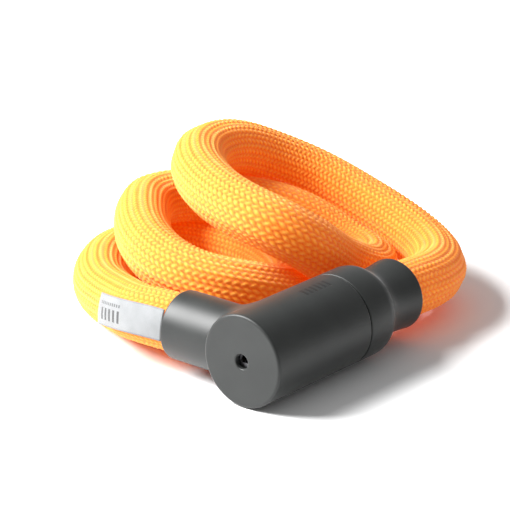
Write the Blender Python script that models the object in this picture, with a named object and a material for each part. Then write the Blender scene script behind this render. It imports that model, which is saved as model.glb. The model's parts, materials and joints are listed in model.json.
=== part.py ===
"""Rope lock: a cylindrical lock head with a side sleeve, a thick braided rope, and a plug.

Units are metres, +Z is up and the lock lies on the plane z = 0.  The head's axis runs along +X
from the keyhole face to the plug's boot.  The row's origin is on the plane, under the middle of
the head and plug.  Head, rotor and plug pieces are drawn in the lock axis's own coordinates:
x from the keyhole face, y and z from the axis.
"""
import math

import bmesh
import bpy
import numpy as np
from mathutils import Matrix, Vector

MM = 0.001

# Driving dimensions of the outside.
HEAD_RADIUS = 22.0 * MM
HEAD_LENGTH = 66.4 * MM
LOCK_LENGTH = 112.0 * MM
SIDE_RADIUS = 16.5 * MM
SIDE_REACH = 50.0 * MM
SIDE_X = 17.6 * MM
ROPE_RADIUS = 14.0 * MM
GAP = 0.3 * MM
COVER_WALL = 2.4 * MM
KEYHOLE_RADIUS = 3.5 * MM

# The lock axis in the row's frame.
AXIS_Y = -(SIDE_REACH - HEAD_RADIUS) / 2
AXIS_ORIGIN = Vector((-LOCK_LENGTH / 2, AXIS_Y, HEAD_RADIUS))

# Case, cylinder and rotor.
CASE_RADIUS = 19.2 * MM
CASE_BORE = 17.2 * MM
CASE_MOUTH = 7.2 * MM
CASE_START = COVER_WALL + GAP
CASE_FRONT_WALL = 5.7 * MM
CASE_STEP = 37.7 * MM
CASE_END = 65.2 * MM
SHELL_RADIUS = 12.0 * MM
SHELL_BORE = 9.3 * MM
SHELL_START = 6.0 * MM
SHELL_END = 36.8 * MM
GROOVE_FLOOR = 10.6 * MM
GROOVE_WIDTH = 2.4 * MM
ROTOR_RADIUS = 9.0 * MM
ROTOR_BORE = 7.3 * MM
ROTOR_START = 6.3 * MM
ROTOR_BACK = 33.4 * MM
ROTOR_END = 36.0 * MM
TANG_HALF = 3.4 * MM
TANG_ROOT = 1.0 * MM
TANG_END = 40.7 * MM
WASHER_BORE = 5.2 * MM

# Disc stack and sidebar.
GUARD_START = 3.0 * MM
GUARD_END = 5.9 * MM
GUARD_RADIUS = 6.8 * MM
DISC_COUNT = 7
DISC_PITCH = 3.7 * MM
DISC_START = 6.7 * MM
DISC_RADIUS = 7.0 * MM
DISC_THICKNESS = 2.3 * MM
SPACER_THICKNESS = 0.8 * MM
SPACER_BORE = 3.2 * MM
CODE_STEP = 15.0
KEYWAY_RADIUS = 2.6 * MM
KEYWAY_HALF_SWEEP = 125
NOTCH_WIDTH = 2.4 * MM
NOTCH_FLOOR = 5.5 * MM
SIDEBAR_WIDTH = 1.6 * MM
SIDEBAR_FOOT = 5.9 * MM
SIDEBAR_CROWN = 8.8 * MM
SIDEBAR_START = 8.0 * MM
SIDEBAR_END = 31.5 * MM

# Ball locking.
BALL_COUNT = 3
BALL_RADIUS = 3.5 * MM
BALL_GAP = 0.25 * MM
BALL_X = 50.0 * MM
BALL_OPEN = 11.6 * MM
BALL_TRAVEL = 1.6 * MM
CAM_RADIUS = 16.9 * MM
CAM_BORE = 13.0 * MM
CAM_START = 38.0 * MM
CAM_FLOOR = 41.0 * MM
CAM_END = 57.8 * MM
CAM_OPEN = BALL_OPEN + BALL_RADIUS + GAP
CAM_SWEEP = 90.0
CAM_DWELL = 10.0
SLEEVE_BORE = 8.3 * MM
SLEEVE_RADIUS = 11.2 * MM
SLEEVE_START = 41.4 * MM
SLEEVE_FLANGE = 58.2 * MM
SLEEVE_END = 61.4 * MM
RING_START = 61.7 * MM
RING_RADIUS = 16.9 * MM
RING_BORE = 8.5 * MM
SEAL_START = 65.5 * MM
SEAL_END = 66.7 * MM
SEAL_BORE = 16.5 * MM

# Plug.  The shoulder's outline runs from the collar over the waist to the boot, in millimetres.
PLUG_START = 67.0 * MM
PLUG_MOUTH = 9.0 * MM
COVER_ROOM = (69.0 * MM, 82.0 * MM)
COVER_ROOM_RADIUS = 19.3 * MM
BOOT_START = 85.0 * MM
BOOT_BORE = 13.4 * MM
BOOT_LIP = 16.8 * MM
PLUG_SHOULDER = [
    (81.5, 22.0), (83.6, 21.6), (86.0, 20.3), (88.6, 18.4), (91.8, 17.0), (96.0, 16.4), (101.0, 16.4),
    (106.5, 16.8), (111.4, 17.3),
]
CORE_RADIUS = 19.0 * MM
CORE_TIP_RADIUS = 15.2 * MM
CORE_TAPER = (81.6 * MM, 83.6 * MM)
BOLT_RADIUS = 8.0 * MM
BOLT_NOSE = 43.5 * MM
BOLT_NOSE_RADIUS = 5.6 * MM
BOLT_TAPER = 2.2 * MM
BOLT_SHOULDER = 84.0 * MM
BOLT_END = 91.5 * MM
O_RING_X = 57.0 * MM
O_RING_HALF_GROOVE = 1.0 * MM
O_RING_FLOOR = 6.6 * MM
O_RING_RADIUS = 7.5 * MM
O_RING_SECTION = 0.65 * MM

# Rope fittings: the anchor and its ferrule are placed along the side sleeve, the plug's along X.
STUD_RADIUS = 5.0 * MM
ANCHOR_START = 12.8 * MM
ANCHOR_DISC = (20.0 * MM, 24.0 * MM)
ANCHOR_END = 32.0 * MM
FERRULE_RADIUS = 13.0 * MM
FERRULE_BORE = 10.8 * MM
FERRULE_FLOOR = 3.0 * MM
SIDE_FERRULE = (24.4 * MM, 49.0 * MM)
PLUG_FERRULE = (86.2 * MM, 111.0 * MM)

# Pins and screws, each from its first end to its last.
PIN_RADIUS = 1.5 * MM
PIN_HOLE = 1.8 * MM
ANCHOR_PIN = (3.3 * MM, 27.0 * MM)
ANCHOR_PIN_Y = 16.0 * MM
SET_SCREW = (10.6 * MM, 18.8 * MM)
SET_SCREW_X = 30.0 * MM
RING_SCREW = (14.6 * MM, 18.8 * MM)
RING_SCREW_RADIUS = 1.2 * MM
RING_SCREW_X = 63.5 * MM
RING_SCREW_ANGLES = (35, 155, 275)
INDEX_PIN = (62.4 * MM, 75.0 * MM)
INDEX_OFFSET = 12.5 * MM
INDEX_ANGLE = 100.0
BOLT_PIN_X = 78.5 * MM
BOLT_PIN_HALF = 17.0 * MM

# Facets of the outside, of plain round pieces and of pins, and how far a cutter runs past a face.
SMOOTH_SIDES = 48
PLAIN_SIDES = 32
SMALL_SIDES = 12
PAST = 2.0 * MM

# Centre line of the rope, from the plug's boot to the side sleeve, in millimetres in the row's frame.
ROPE_ROUTE = [
    (56.8, -14, 22), (81, -14, 21.2), (103.5, -5, 20), (118.5, 14, 22), (123.5, 38, 28.5),
    (122, 61.5, 36.5), (115, 83, 46), (99.5, 98.5, 56), (77, 105.5, 65.5), (54.5, 103.5, 68),
    (36.5, 91, 66.5), (24, 72, 64), (17, 49.5, 61.2), (20, 29, 55.8), (33.4, 19.2, 45.4),
    (53.8, 21, 31.2), (77, 19.4, 19.4), (93.2, 29.4, 17), (98.2, 49.2, 20.2), (88, 77.5, 33.5),
    (75.5, 98, 38), (61.5, 119, 40.8), (41.5, 126, 41.4), (20.5, 114.5, 40.5), (3, 97, 39),
    (-8.5, 75.5, 36), (-8.5, 51.5, 32), (6, 33.5, 27), (27.5, 33, 19.5), (46, 47.5, 14.7),
    (58, 69, 14.2), (61, 93, 14.2), (58.5, 117.5, 14.2), (43.5, 135, 14.2), (21.5, 136, 14.2),
    (0.5, 124, 14.2), (-16, 105.5, 14.6), (-27, 83.5, 16.5), (-37.4, 60.5, 20.6), (-38.4, 36.6, 22),
]
ROPE_POINTS = 80
ROPE_SPLIT = 15

# Fabric label beside the sleeve.
LABEL_LENGTH = 38.0 * MM
LABEL_WIDTH = 15.0 * MM
LABEL_THICKNESS = 0.9 * MM
LABEL_WRAP = 0.35
LABEL_LIFT = 2.2 * MM
LABEL_FACING = Vector((-0.97, 0.0, 0.24))

# Finishes: colour, roughness and metallic value.
SOFT_TOUCH = ((0.045, 0.047, 0.046), 0.55, 0.0)
STEEL = ((0.55, 0.56, 0.58), 0.35, 1.0)
DARK_STEEL = ((0.22, 0.22, 0.23), 0.4, 1.0)
BRASS = ((0.72, 0.55, 0.26), 0.35, 1.0)
RUBBER = ((0.02, 0.02, 0.02), 0.7, 0.0)
ROPE_ORANGE = ((0.95, 0.22, 0.02), 0.8, 0.0)
LABEL_GREY = ((0.56, 0.58, 0.6), 0.6, 0.0)


def clear_scene():
    """Remove every object, so that the model starts from an empty scene."""
    for item in list(bpy.data.objects):
        bpy.data.objects.remove(item, do_unlink=True)


def make_material(name, color, roughness, metallic):
    """Return a Principled material."""
    material = bpy.data.materials.new(name)
    material.use_nodes = True
    shader = material.node_tree.nodes["Principled BSDF"]
    shader.inputs["Base Color"].default_value = (*color, 1.0)
    shader.inputs["Roughness"].default_value = roughness
    shader.inputs["Metallic"].default_value = metallic
    return material


def make_empty(name, location):
    """Return an empty that marks a joint's axis."""
    empty = bpy.data.objects.new(name, None)
    empty.location = location
    bpy.context.scene.collection.objects.link(empty)
    return empty


def make_object(name, mesh_builder, finish, parent, location=(0.0, 0.0, 0.0)):
    """Turn a bmesh into a named object under its parent, with its own material."""
    bmesh.ops.recalc_face_normals(mesh_builder, faces=mesh_builder.faces)
    mesh = bpy.data.meshes.new(name)
    mesh_builder.to_mesh(mesh)
    mesh_builder.free()
    mesh.shade_smooth()
    mesh.set_sharp_from_angle(angle=math.radians(35))
    item = bpy.data.objects.new(name, mesh)
    bpy.context.scene.collection.objects.link(item)
    item.parent = parent
    item.location = location
    if finish:
        mesh.materials.append(make_material(name, *finish))
    return item


def make_cutter(name, mesh_builder, parent):
    """Return a hidden solid that a Boolean takes away."""
    item = make_object(name, mesh_builder, None, parent)
    item.hide_render = True
    item.display_type = "WIRE"
    return item


def combine(target, tool, operation):
    """Add a Boolean modifier to the target."""
    modifier = target.modifiers.new(tool.name, "BOOLEAN")
    modifier.operation = operation
    modifier.solver = "EXACT"
    modifier.object = tool


def turned(outline, sides):
    """Spin a closed outline of (x, radius) points around the X axis."""
    builder = bmesh.new()
    verts = [builder.verts.new((x, 0.0, radius)) for x, radius in outline]
    edges = [builder.edges.new((verts[i - 1], verts[i])) for i in range(len(verts))]
    bmesh.ops.spin(
        builder, geom=verts + edges, cent=(0, 0, 0), axis=(1, 0, 0), dvec=(0, 0, 0),
        angle=2 * math.pi, steps=sides, use_merge=True,
    )
    bmesh.ops.remove_doubles(builder, verts=builder.verts, dist=1e-6)
    bmesh.ops.dissolve_degenerate(builder, dist=1e-6, edges=builder.edges)
    return builder


def tube(start, end, outer, inner, sides=PLAIN_SIDES):
    """A plain ring or tube along X."""
    return turned([(start, inner), (start, outer), (end, outer), (end, inner)], sides)


def rod(start, end, radius, sides=PLAIN_SIDES):
    """A plain cylinder along X."""
    return turned([(start, 0.0), (start, radius), (end, radius), (end, 0.0)], sides)


def cross_rod(centre, radius, low, high, direction, sides=SMALL_SIDES):
    """A cylinder through a centre, from low to high along a direction."""
    builder = rod(low, high, radius, sides)
    turn = Vector((1, 0, 0)).rotation_difference(Vector(direction)).to_matrix().to_4x4()
    builder.transform(Matrix.Translation(centre) @ turn)
    return builder


def block(low, high):
    """A box from its low corner to its high corner."""
    builder = bmesh.new()
    size = Vector(high) - Vector(low)
    middle = (Vector(high) + Vector(low)) / 2
    bmesh.ops.create_cube(builder, size=1.0, matrix=Matrix.Translation(middle) @ Matrix.Diagonal(size.to_4d()))
    return builder


def prism(outline, start, end):
    """A solid with a (y, z) outline between two x positions."""
    builder = bmesh.new()
    low = [builder.verts.new((start, y, z)) for y, z in outline]
    high = [builder.verts.new((end, y, z)) for y, z in outline]
    builder.faces.new(low)
    builder.faces.new(high)
    for i in range(len(outline)):
        builder.faces.new((low[i - 1], low[i], high[i], high[i - 1]))
    return builder


def arc(centre, radius, first, last, count):
    """Points of an arc, with angles in degrees."""
    angles = np.radians(np.linspace(first, last, count))
    return [(centre[0] + radius * math.cos(a), centre[1] + radius * math.sin(a)) for a in angles]


def smooth_curve(points, count, first_slope=None, last_slope=None):
    """Read evenly spaced points from a cubic spline; its ends are free unless a slope is given."""
    knots = np.array(points, float)
    spans = np.linalg.norm(np.diff(knots, axis=0), axis=1)
    places = np.concatenate([[0.0], np.cumsum(spans)])
    size = len(knots)
    matrix = np.eye(size)
    bends = np.zeros_like(knots)
    for i in range(1, size - 1):
        matrix[i, i - 1:i + 2] = spans[i - 1], 2 * (spans[i - 1] + spans[i]), spans[i]
        slope_after = (knots[i + 1] - knots[i]) / spans[i]
        slope_before = (knots[i] - knots[i - 1]) / spans[i - 1]
        bends[i] = 6 * (slope_after - slope_before)
    if first_slope is not None:
        matrix[0, :2] = 2 * spans[0], spans[0]
        bends[0] = 6 * ((knots[1] - knots[0]) / spans[0] - np.array(first_slope))
    if last_slope is not None:
        matrix[-1, -2:] = spans[-1], 2 * spans[-1]
        bends[-1] = 6 * (np.array(last_slope) - (knots[-1] - knots[-2]) / spans[-1])
    bends = np.linalg.solve(matrix, bends)
    fine = np.linspace(0.0, places[-1], count * 20)
    left = np.clip(np.searchsorted(places, fine, side="right") - 1, 0, size - 2)
    span = spans[left][:, None]
    a = (places[left + 1] - fine)[:, None] / span
    b = 1.0 - a
    dense = a * knots[left] + b * knots[left + 1]
    dense += ((a**3 - a) * bends[left] + (b**3 - b) * bends[left + 1]) * span**2 / 6
    steps = np.concatenate([[0.0], np.cumsum(np.linalg.norm(np.diff(dense, axis=0), axis=1))])
    even = np.linspace(0.0, steps[-1], count)
    return np.stack([np.interp(even, steps, dense[:, axis]) for axis in range(knots.shape[1])], axis=1)


def radial(angle):
    """Unit vector across the lock axis, with the angle in degrees from +Y towards +Z."""
    return Vector((0.0, math.cos(math.radians(angle)), math.sin(math.radians(angle))))


def head_cover(parent):
    """Soft-touch cup with the keyhole face and the side sleeve, in one moulding."""
    rim = 0.9 * MM
    lip = 0.5 * MM
    outline = [(0.0, 0.0)]
    outline += arc((rim, HEAD_RADIUS - rim), rim, 180, 90, 5)
    outline += [(HEAD_LENGTH - lip, HEAD_RADIUS), (HEAD_LENGTH, HEAD_RADIUS - lip), (HEAD_LENGTH, 0.0)]
    cover = make_object("head_cover", turned(outline, SMOOTH_SIDES), SOFT_TOUCH, parent)
    centre = Vector((SIDE_X, 0, 0))
    sleeve = cross_rod(centre, SIDE_RADIUS, HEAD_RADIUS / 5, SIDE_REACH, (0, 1, 0), SMOOTH_SIDES)
    combine(cover, make_cutter("sleeve_form", sleeve, parent), "UNION")
    case_room = rod(COVER_WALL, 2 * HEAD_LENGTH, CASE_RADIUS + GAP, SMOOTH_SIDES)
    combine(cover, make_cutter("case_room", case_room, parent), "DIFFERENCE")
    sleeve_room = cross_rod(centre, BOOT_BORE, 0.0, SIDE_REACH + 2 * COVER_WALL, (0, 1, 0), PLAIN_SIDES)
    combine(cover, make_cutter("sleeve_room", sleeve_room, parent), "DIFFERENCE")
    keyhole = rod(-COVER_WALL, 2 * COVER_WALL, KEYHOLE_RADIUS, SMALL_SIDES * 2)
    combine(cover, make_cutter("keyhole", keyhole, parent), "DIFFERENCE")


def lock_case(parent):
    """Hardened steel case around the cylinder and the cam."""
    outline = [
        (CASE_START, CASE_MOUTH), (CASE_START, CASE_RADIUS), (CASE_END, CASE_RADIUS), (CASE_END, CASE_BORE),
        (CASE_STEP, CASE_BORE), (CASE_STEP, SHELL_RADIUS + GAP), (CASE_FRONT_WALL, SHELL_RADIUS + GAP),
        (CASE_FRONT_WALL, CASE_MOUTH),
    ]
    case = make_object("lock_case", turned(outline, SMOOTH_SIDES), STEEL, parent)
    side = Vector((SIDE_X, 0, 0))
    port = cross_rod(side, STUD_RADIUS + GAP, SHELL_RADIUS / 2, CASE_RADIUS + PAST, (0, 1, 0), 16)
    combine(case, make_cutter("anchor_port", port, parent), "DIFFERENCE")
    pin_room = make_cutter("anchor_pin_room", anchor_pin_shape(PIN_HOLE, PAST / 2), parent)
    combine(case, pin_room, "DIFFERENCE")
    set_room = make_cutter("set_screw_room", set_screw_shape(PIN_HOLE, PAST), parent)
    combine(case, set_room, "DIFFERENCE")
    for number, angle in enumerate(RING_SCREW_ANGLES, 1):
        room = make_cutter(f"ring_screw_room_{number}", ring_screw_shape(angle, GAP, PAST), parent)
        combine(case, room, "DIFFERENCE")


def anchor_pin_shape(radius, extra):
    """Roll pin along X that crosses the anchor's stud; extra lengthens both ends for a hole."""
    start, end = ANCHOR_PIN
    builder = rod(start - extra, end + extra, radius, SMALL_SIDES)
    builder.transform(Matrix.Translation((0, ANCHOR_PIN_Y, 0)))
    return builder


def set_screw_shape(radius, extra):
    """Grub screw from below that holds the cylinder's shell in the case."""
    start, end = SET_SCREW
    return cross_rod(Vector((SET_SCREW_X, 0, 0)), radius, start - extra, end + extra, (0, 0, -1))


def ring_screw_shape(angle, wider, extra):
    """Grub screw through the case into the rear ring."""
    start, end = RING_SCREW
    centre = Vector((RING_SCREW_X, 0, 0))
    return cross_rod(centre, RING_SCREW_RADIUS + wider, start - wider, end + extra, radial(angle))


def fixed_screws(parent):
    """Anchor pin, cylinder grub screw and the rear ring's three grub screws."""
    make_object("side_anchor_pin", anchor_pin_shape(PIN_RADIUS, 0.0), DARK_STEEL, parent)
    make_object("cylinder_set_screw", set_screw_shape(PIN_RADIUS, 0.0), DARK_STEEL, parent)
    for number, angle in enumerate(RING_SCREW_ANGLES, 1):
        make_object(f"rear_ring_screw_{number}", ring_screw_shape(angle, 0.0, 0.0), DARK_STEEL, parent)


def cylinder_shell(parent):
    """Brass cylinder housing with two sidebar grooves a quarter turn apart."""
    shell = make_object("cylinder_shell", tube(SHELL_START, SHELL_END, SHELL_RADIUS, SHELL_BORE), BRASS, parent)
    half = GROOVE_WIDTH / 2
    inside = SHELL_BORE - PAST
    upper = block((0, -half, inside), (2 * SHELL_END, half, GROOVE_FLOOR))
    combine(shell, make_cutter("groove_open", upper, parent), "DIFFERENCE")
    side = block((0, -GROOVE_FLOOR, -half), (2 * SHELL_END, -inside, half))
    combine(shell, make_cutter("groove_locked", side, parent), "DIFFERENCE")
    set_room = make_cutter("set_screw_seat", set_screw_shape(PIN_HOLE, PAST), parent)
    combine(shell, set_room, "DIFFERENCE")


def socket_sleeve(parent):
    """Hardened guide for the plug's bolt, with a radial hole for each ball."""
    outline = [
        (SLEEVE_START, SLEEVE_BORE), (SLEEVE_START, SLEEVE_RADIUS), (SLEEVE_FLANGE, SLEEVE_RADIUS),
        (SLEEVE_FLANGE, RING_RADIUS), (SLEEVE_END, RING_RADIUS), (SLEEVE_END, SLEEVE_BORE),
    ]
    sleeve = make_object("socket_sleeve", turned(outline, PLAIN_SIDES), STEEL, parent)
    for number, angle in enumerate(ball_angles(), 1):
        centre = Vector((BALL_X, 0, 0))
        room = cross_rod(
            centre, BALL_RADIUS + BALL_GAP, SLEEVE_BORE - PAST, SLEEVE_RADIUS + PAST, radial(angle), 16)
        combine(sleeve, make_cutter(f"ball_room_{number}", room, parent), "DIFFERENCE")


def ball_angles():
    """Angles of the locking balls around the lock axis."""
    return [90 + 360 / BALL_COUNT * number for number in range(BALL_COUNT)]


def rear_ring(parent):
    """Threaded ring that closes the case, with the hole for the plug's index pin."""
    ring = tube(RING_START, CASE_END, RING_RADIUS, RING_BORE, SMOOTH_SIDES)
    ring = make_object("rear_ring", ring, STEEL, parent)
    combine(ring, make_cutter("index_hole", index_pin_shape(PIN_HOLE, 2 * PAST), parent), "DIFFERENCE")
    for number, angle in enumerate(RING_SCREW_ANGLES, 1):
        room = make_cutter(f"ring_screw_seat_{number}", ring_screw_shape(angle, GAP, PAST), parent)
        combine(ring, room, "DIFFERENCE")


def index_pin_shape(radius, extra):
    """Pin that keeps the plug from turning in the head."""
    start, end = INDEX_PIN
    builder = rod(start - extra, end + extra, radius, SMALL_SIDES)
    builder.transform(Matrix.Translation(radial(INDEX_ANGLE) * INDEX_OFFSET))
    return builder


def side_anchor(parent):
    """Steel fitting that holds the rope's ferrule to the case, drawn along the sleeve's axis."""
    low, high = ANCHOR_DISC
    outline = [
        (ANCHOR_START, 0.0), (ANCHOR_START, STUD_RADIUS), (low, STUD_RADIUS), (low, FERRULE_RADIUS),
        (high, FERRULE_RADIUS), (high, STUD_RADIUS), (ANCHOR_END, STUD_RADIUS), (ANCHOR_END, 0.0),
    ]
    anchor = make_object("side_anchor", along_sleeve(turned(outline, PLAIN_SIDES)), STEEL, parent)
    hole = make_cutter("stud_cross_hole", anchor_pin_shape(PIN_HOLE, PAST / 2), parent)
    combine(anchor, hole, "DIFFERENCE")
    make_object("side_ferrule", along_sleeve(ferrule_shape(*SIDE_FERRULE)), STEEL, parent)


def ferrule_shape(start, end):
    """Crimped cup for a rope's end, with a hole for the stud in its floor."""
    floor = start + FERRULE_FLOOR
    hole = STUD_RADIUS + GAP
    outline = [
        (start, hole), (start, FERRULE_RADIUS), (end, FERRULE_RADIUS), (end, FERRULE_BORE),
        (floor, FERRULE_BORE), (floor, hole),
    ]
    return turned(outline, PLAIN_SIDES)


def along_sleeve(builder):
    """Turn a shape drawn along X so that it lies along the side sleeve."""
    builder.transform(Matrix.Translation((SIDE_X, 0, 0)) @ Matrix.Rotation(math.radians(90), 4, "Z"))
    return builder


def seam_seal(parent):
    """Rubber ring at the seam between head and plug."""
    make_object("seam_seal", tube(SEAL_START, SEAL_END, CASE_RADIUS, SEAL_BORE), RUBBER, parent)


def notch_shape(start, end):
    """Room for the sidebar in a disc or a spacer."""
    half = NOTCH_WIDTH / 2
    return block((start, -half, NOTCH_FLOOR), (end, half, 2 * DISC_RADIUS))


def keyway_shape(start, end, angle):
    """Round key slot with one flat side, turned by an angle in degrees."""
    outline = arc((0.0, 0.0), KEYWAY_RADIUS, angle - KEYWAY_HALF_SWEEP, angle + KEYWAY_HALF_SWEEP, 10)
    return prism(outline, start, end)


def drill_guard(parent):
    """Hardened disc behind the keyhole."""
    guard = make_object("drill_guard", rod(GUARD_START, GUARD_END, GUARD_RADIUS), DARK_STEEL, parent)
    slot = keyway_shape(GUARD_START - PAST, GUARD_END + PAST, 90)
    combine(guard, make_cutter("guard_keyway", slot, parent), "DIFFERENCE")


def code_discs(parent):
    """Brass discs, each with its key slot turned to its own code."""
    middle = (DISC_COUNT - 1) // 2
    for number in range(1, DISC_COUNT + 1):
        start = DISC_START + (number - 1) * DISC_PITCH
        end = start + DISC_THICKNESS
        disc = make_object(f"code_disc_{number}", rod(start, end, DISC_RADIUS), BRASS, parent)
        code = 90 + CODE_STEP * (number * middle % DISC_COUNT - middle)
        slot = make_cutter(f"disc_keyway_{number}", keyway_shape(start - PAST, end + PAST, code), parent)
        combine(disc, slot, "DIFFERENCE")
        notch = make_cutter(f"disc_notch_{number}", notch_shape(start - PAST, end + PAST), parent)
        combine(disc, notch, "DIFFERENCE")


def disc_spacers(parent):
    """Thin steel rings between the code discs."""
    for number in range(1, DISC_COUNT):
        start = DISC_START + number * DISC_PITCH - SPACER_THICKNESS - GAP
        end = start + SPACER_THICKNESS
        spacer = tube(start, end, DISC_RADIUS, SPACER_BORE, SMALL_SIDES * 2)
        spacer = make_object(f"disc_spacer_{number}", spacer, STEEL, parent)
        notch = make_cutter(f"spacer_notch_{number}", notch_shape(start - PAST, end + PAST), parent)
        combine(spacer, notch, "DIFFERENCE")


def key_rotor(parent):
    """Slotted carrier that holds the discs, with a square tang for the cam."""
    outline = [
        (ROTOR_START, ROTOR_BORE), (ROTOR_START, ROTOR_RADIUS), (ROTOR_END, ROTOR_RADIUS), (ROTOR_END, 0.0),
        (ROTOR_BACK, 0.0), (ROTOR_BACK, ROTOR_BORE),
    ]
    rotor = make_object("key_rotor", turned(outline, PLAIN_SIDES), STEEL, parent)
    tang = block((ROTOR_BACK + TANG_ROOT, -TANG_HALF, -TANG_HALF), (TANG_END, TANG_HALF, TANG_HALF))
    combine(rotor, make_cutter("tang_form", tang, parent), "UNION")
    half = SIDEBAR_WIDTH / 2 + GAP
    slot = block((SIDEBAR_START - GAP, -half, NOTCH_FLOOR - PAST), (SIDEBAR_END + GAP, half, 2 * ROTOR_RADIUS))
    combine(rotor, make_cutter("sidebar_slot", slot, parent), "DIFFERENCE")
    washer = tube(ROTOR_END + GAP, CAM_START - GAP, ROTOR_RADIUS, WASHER_BORE)
    make_object("thrust_washer", washer, STEEL, parent)


def cam_radius(angle):
    """Inner radius of the cam; the angle is in degrees after a ball's place at rest."""
    turn = angle % (360 / BALL_COUNT)
    if turn <= CAM_DWELL:
        return CAM_OPEN
    back = 360 / BALL_COUNT - CAM_SWEEP
    if turn <= back:
        return CAM_OPEN - BALL_TRAVEL * (turn - CAM_DWELL) / (back - CAM_DWELL)
    return CAM_OPEN - BALL_TRAVEL * (360 / BALL_COUNT - turn) / CAM_SWEEP


def locking_cam(parent):
    """Cup with three spiral ramps inside, which push the balls inwards as it turns."""
    outline = [
        (CAM_START, 0.0), (CAM_START, CAM_RADIUS), (CAM_END, CAM_RADIUS), (CAM_END, CAM_BORE),
        (CAM_FLOOR, CAM_BORE), (CAM_FLOOR, 0.0),
    ]
    cam = make_object("locking_cam", turned(outline, SMOOTH_SIDES), DARK_STEEL, parent)
    steps = 60
    ramp = []
    for step in range(steps):
        angle = 360 * step / steps
        place = radial(angle + ball_angles()[0]) * cam_radius(angle)
        ramp.append((place.y, place.z))
    combine(cam, make_cutter("cam_ramps", prism(ramp, CAM_FLOOR, 2 * CAM_END), parent), "DIFFERENCE")
    half = TANG_HALF + GAP
    hole = block((CAM_START - PAST, -half, -half), (CAM_FLOOR + PAST, half, half))
    combine(cam, make_cutter("tang_hole", hole, parent), "DIFFERENCE")


def sidebar(parent):
    """Bar that drops into the discs' notches and blocks the rotor when it is pushed out."""
    centre = Vector(((SIDEBAR_START + SIDEBAR_END) / 2, 0, (SIDEBAR_FOOT + SIDEBAR_CROWN) / 2))
    half = Vector(((SIDEBAR_END - SIDEBAR_START) / 2, SIDEBAR_WIDTH / 2, (SIDEBAR_CROWN - SIDEBAR_FOOT) / 2))
    bar = make_object("sidebar", block(-half, half), STEEL, parent, centre)
    bevel = bar.modifiers.new("rounded_edges", "BEVEL")
    bevel.width = 0.35 * MM
    bevel.segments = 1


def locking_balls(parent):
    """Three balls in the socket sleeve, drawn in."""
    for number, angle in enumerate(ball_angles(), 1):
        builder = bmesh.new()
        bmesh.ops.create_uvsphere(builder, u_segments=12, v_segments=8, radius=BALL_RADIUS)
        place = Vector((BALL_X, 0, 0)) + radial(angle) * BALL_OPEN
        make_object(f"locking_ball_{number}", builder, STEEL, parent, place)


def plug_cover(parent):
    """Soft-touch collar, waist and rope boot of the plug, in one moulding."""
    lip = 0.5 * MM
    low, high = COVER_ROOM
    outline = [(PLUG_START, PLUG_MOUTH), (PLUG_START, HEAD_RADIUS - lip), (PLUG_START + lip, HEAD_RADIUS)]
    outline += [(x * MM, radius * MM) for x, radius in smooth_curve(PLUG_SHOULDER, 13)]
    outline += [(LOCK_LENGTH, BOOT_LIP), (LOCK_LENGTH, BOOT_BORE), (BOOT_START, BOOT_BORE)]
    outline += [(high, COVER_ROOM_RADIUS), (low, COVER_ROOM_RADIUS), (low, PLUG_MOUTH)]
    cover = make_object("plug_cover", turned(outline, SMOOTH_SIDES), SOFT_TOUCH, parent)
    combine(cover, make_cutter("cover_pin_hole", index_pin_shape(PIN_HOLE, 2 * PAST), parent), "DIFFERENCE")


def bolt_outline():
    """Outline of the bolt, with its tapered nose, ball groove and seal groove."""
    groove_radius = BALL_RADIUS + GAP
    groove_centre = BALL_OPEN - BALL_TRAVEL
    reach = math.degrees(math.asin((groove_centre - BOLT_RADIUS) / groove_radius))
    low, high = O_RING_X - O_RING_HALF_GROOVE, O_RING_X + O_RING_HALF_GROOVE
    outline = [(BOLT_NOSE, 0.0), (BOLT_NOSE, BOLT_NOSE_RADIUS), (BOLT_NOSE + BOLT_TAPER, BOLT_RADIUS)]
    outline += arc((BALL_X, groove_centre), groove_radius, 180 + reach, 360 - reach, 7)
    outline += [(low, BOLT_RADIUS), (low, O_RING_FLOOR), (high, O_RING_FLOOR), (high, BOLT_RADIUS)]
    outline += [(BOLT_SHOULDER, BOLT_RADIUS), (BOLT_SHOULDER, STUD_RADIUS), (BOLT_END, STUD_RADIUS)]
    return outline + [(BOLT_END, 0.0)]


def bolt_pin_shape(radius, extra, sides=SMALL_SIDES):
    """Cross pin that holds the bolt in the plug's core."""
    half = BOLT_PIN_HALF + extra
    return cross_rod(Vector((BOLT_PIN_X, 0, 0)), radius, -half, half, (0, 1, 0), sides)


def plug_bolt(parent):
    """Turned bolt that the balls hold, with its seal."""
    bolt = make_object("plug_bolt", turned(bolt_outline(), PLAIN_SIDES), STEEL, parent)
    hole = bolt_pin_shape(PIN_HOLE, 2 * PAST, 16)
    combine(bolt, make_cutter("bolt_pin_hole", hole, parent), "DIFFERENCE")
    ring = arc((O_RING_X, O_RING_RADIUS), O_RING_SECTION, 0, 300, 6)
    make_object("bolt_o_ring", turned(ring, PLAIN_SIDES), RUBBER, parent)


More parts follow.
